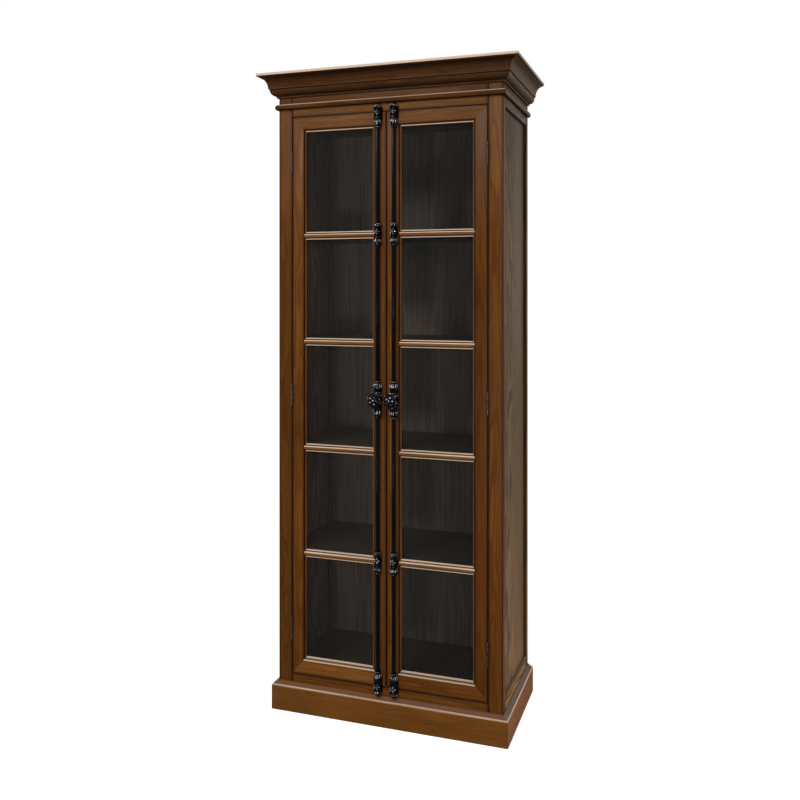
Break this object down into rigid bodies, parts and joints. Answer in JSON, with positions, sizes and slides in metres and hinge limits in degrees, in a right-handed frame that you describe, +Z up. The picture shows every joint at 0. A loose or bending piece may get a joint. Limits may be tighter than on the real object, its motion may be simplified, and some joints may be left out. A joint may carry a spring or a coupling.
{
  "type": "bookcase with glass doors",
  "caption": "Tall wooden display bookcase on a plinth, with a moulded cornice, fixed shelves and a pair of barred glass doors held by long rod bolts turned by oval knobs.",
  "frame": {"origin": "on the floor, under the middle of the whole object's footprint", "axes": "+X to the right seen from the front, +Y to the back, +Z up"},
  "size_m": [0.914, 0.472, 2.2],
  "materials": {
    "frame_wood": "warm brown stained oak, satin lacquer",
    "panel_wood": "greyer brown stained oak veneer, satin",
    "inside_wood": "dark grey-brown stained oak veneer, matt",
    "glass": "clear float glass",
    "cast_iron": "black gloss enamel on ornamental castings",
    "hinge_metal": "dark bronze plating"
  },
  "bodies": {
    "root": {"plinth": "frame_wood", "face_rail_bottom": "frame_wood", "face_rail_top": "frame_wood", "face_stile_left": "frame_wood", "face_stile_right": "frame_wood", "bead_moulding": "frame_wood", "cornice": "frame_wood", "top_board": "frame_wood", "side_frame_left": "panel_wood", "side_frame_right": "panel_wood", "side_panel_left": "panel_wood", "side_panel_right": "panel_wood", "back_panel": "inside_wood", "back_rail": "inside_wood", "floor_board": "inside_wood", "ceiling_board": "inside_wood", "shelf_1": "inside_wood", "shelf_2": "inside_wood", "shelf_3": "inside_wood", "shelf_4": "inside_wood", "hinge_frame_leaf_left_bottom": "hinge_metal", "hinge_frame_leaf_left_middle": "hinge_metal", "hinge_frame_leaf_left_top": "hinge_metal", "hinge_frame_leaf_right_bottom": "hinge_metal", "hinge_frame_leaf_right_middle": "hinge_metal", "hinge_frame_leaf_right_top": "hinge_metal", "bolt_keeper_left_upper": "cast_iron", "bolt_keeper_left_lower": "cast_iron", "bolt_keeper_right_upper": "cast_iron", "bolt_keeper_right_lower": "cast_iron"},
    "door_left": {"door_frame_left": "frame_wood", "door_grille_left": "frame_wood", "door_glass_left": "glass", "glazing_bead_left": "frame_wood", "hinge_door_leaf_left_bottom": "hinge_metal", "hinge_door_leaf_left_middle": "hinge_metal", "hinge_door_leaf_left_top": "hinge_metal", "bolt_case_left": "cast_iron", "bolt_end_guide_left_upper": "cast_iron", "bolt_end_guide_left_lower": "cast_iron", "bolt_middle_guide_left_upper": "cast_iron", "bolt_middle_guide_left_lower": "cast_iron"},
    "door_right": {"door_frame_right": "frame_wood", "door_grille_right": "frame_wood", "door_glass_right": "glass", "glazing_bead_right": "frame_wood", "hinge_door_leaf_right_bottom": "hinge_metal", "hinge_door_leaf_right_middle": "hinge_metal", "hinge_door_leaf_right_top": "hinge_metal", "bolt_case_right": "cast_iron", "bolt_end_guide_right_upper": "cast_iron", "bolt_end_guide_right_lower": "cast_iron", "bolt_middle_guide_right_upper": "cast_iron", "bolt_middle_guide_right_lower": "cast_iron"},
    "knob_left": {"bolt_knob_left": "cast_iron"},
    "knob_right": {"bolt_knob_right": "cast_iron"},
    "rod_left_upper": {"bolt_rod_left_upper": "cast_iron"},
    "rod_left_lower": {"bolt_rod_left_lower": "cast_iron"},
    "rod_right_upper": {"bolt_rod_right_upper": "cast_iron"},
    "rod_right_lower": {"bolt_rod_right_lower": "cast_iron"}
  },
  "joints": [
    {"name": "left_door_hinge", "type": "hinge", "parent": "root", "child": "door_left", "pos_m": [-0.347, -0.1799, 1.089], "axis": [0, 0, -1], "range_deg": [0, 110]},
    {"name": "right_door_hinge", "type": "hinge", "parent": "root", "child": "door_right", "pos_m": [0.347, -0.1799, 1.089], "axis": [0, 0, 1], "range_deg": [0, 110]},
    {"name": "left_knob_turn", "type": "hinge", "parent": "door_left", "child": "knob_left", "pos_m": [-0.0284, -0.2, 1.089], "axis": [0, -1, 0], "range_deg": [0, 90]},
    {"name": "right_knob_turn", "type": "hinge", "parent": "door_right", "child": "knob_right", "pos_m": [0.0284, -0.2, 1.089], "axis": [0, 1, 0], "range_deg": [0, 90]},
    {"name": "left_upper_rod_slide", "type": "slide", "parent": "door_left", "child": "rod_left_upper", "axis": [0, 0, 1], "range_m": [0, 0.015]},
    {"name": "left_lower_rod_slide", "type": "slide", "parent": "door_left", "child": "rod_left_lower", "axis": [0, 0, -1], "range_m": [0, 0.015]},
    {"name": "right_upper_rod_slide", "type": "slide", "parent": "door_right", "child": "rod_right_upper", "axis": [0, 0, 1], "range_m": [0, 0.015]},
    {"name": "right_lower_rod_slide", "type": "slide", "parent": "door_right", "child": "rod_right_lower", "axis": [0, 0, -1], "range_m": [0, 0.015]}
  ],
  "couplings": [
    {"joint": "left_upper_rod_slide", "follows": "left_knob_turn", "m_per_rad": 0.009549},
    {"joint": "left_lower_rod_slide", "follows": "left_knob_turn", "m_per_rad": 0.009549},
    {"joint": "right_upper_rod_slide", "follows": "right_knob_turn", "m_per_rad": 0.009549},
    {"joint": "right_lower_rod_slide", "follows": "right_knob_turn", "m_per_rad": 0.009549}
  ]
}
